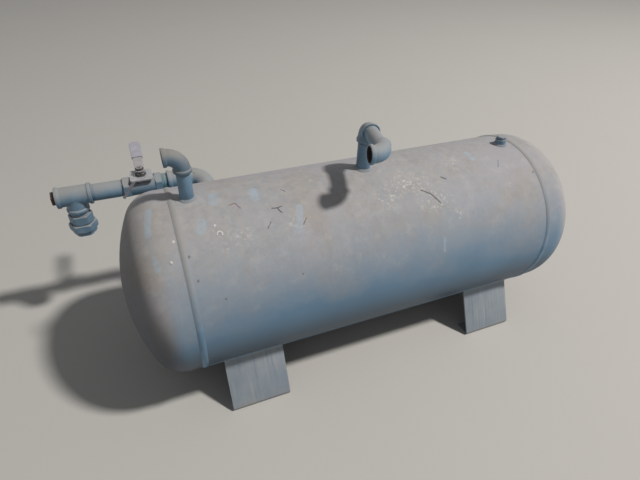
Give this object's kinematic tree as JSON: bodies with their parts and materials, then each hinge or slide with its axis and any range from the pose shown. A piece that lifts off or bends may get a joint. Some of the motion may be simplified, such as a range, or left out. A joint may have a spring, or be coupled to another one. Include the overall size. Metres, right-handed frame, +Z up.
{
  "type": "horizontal pressure tank",
  "caption": "Welded horizontal receiver with dished ends on bent plate feet, with screwed elbows on top and a lever ball valve, tee and union on pipe at the back.",
  "frame": {"origin": "on the floor below the middle of the shell, at the centre of the four anchor holes", "axes": "+X along the tank to its right end, +Y to the back where the valve run is, +Z up"},
  "size_m": [1.8516, 0.8378, 0.8515],
  "materials": {
    "tank_paint": "dusty blue-grey enamel",
    "weld_paint": "dusty blue-grey enamel over weld",
    "foot_paint": "dusty blue-grey enamel",
    "fitting_paint": "blue-grey enamel on malleable iron and pipe",
    "bare_steel": "dull steel",
    "ball_steel": "polished",
    "seat_plastic": "smooth",
    "plate_zinc": "dusty zinc",
    "lever_paint": "worn lavender-grey coat",
    "grip_plastic": "faded lavender sleeve",
    "rusty_iron": "rusty"
  },
  "bodies": {
    "tank": {"shell": "tank_paint", "left_head": "tank_paint", "right_head": "tank_paint", "left_girth_weld": "weld_paint", "right_girth_weld": "weld_paint", "seam_weld": "weld_paint", "nozzle_welds": "weld_paint", "front_left_foot": "foot_paint", "back_left_foot": "foot_paint", "front_right_foot": "foot_paint", "back_right_foot": "foot_paint", "left_riser": "fitting_paint", "left_elbow": "fitting_paint", "middle_riser": "fitting_paint", "middle_elbow": "fitting_paint", "cross_nipple": "fitting_paint", "outlet_elbow": "fitting_paint", "right_coupling": "fitting_paint", "right_plug": "fitting_paint", "back_riser": "fitting_paint", "back_elbow": "fitting_paint", "back_nipple": "fitting_paint", "inlet_coupling": "fitting_paint", "inlet_nipple": "fitting_paint", "valve_body": "fitting_paint", "valve_tail": "fitting_paint", "ball_seats": "seat_plastic", "gland_nut": "bare_steel", "stop_plate": "plate_zinc", "run_nipple": "fitting_paint", "tee": "fitting_paint", "tee_plug": "rusty_iron", "branch_nipple": "fitting_paint", "union_top": "fitting_paint", "union_nut": "fitting_paint", "union_bottom": "fitting_paint", "drain_coupling": "fitting_paint", "drain_plug": "bare_steel"},
    "valve_handle": {"ball": "ball_steel", "stem": "bare_steel", "lever": "lever_paint", "lever_grip": "grip_plastic", "lever_nut": "bare_steel"}
  },
  "joints": [
    {"name": "lever_turn", "type": "hinge", "parent": "tank", "child": "valve_handle", "pos_m": [-0.7135, 0.33169, 0.5575], "axis": [0, 0, 1], "range_deg": [0, 90]}
  ]
}
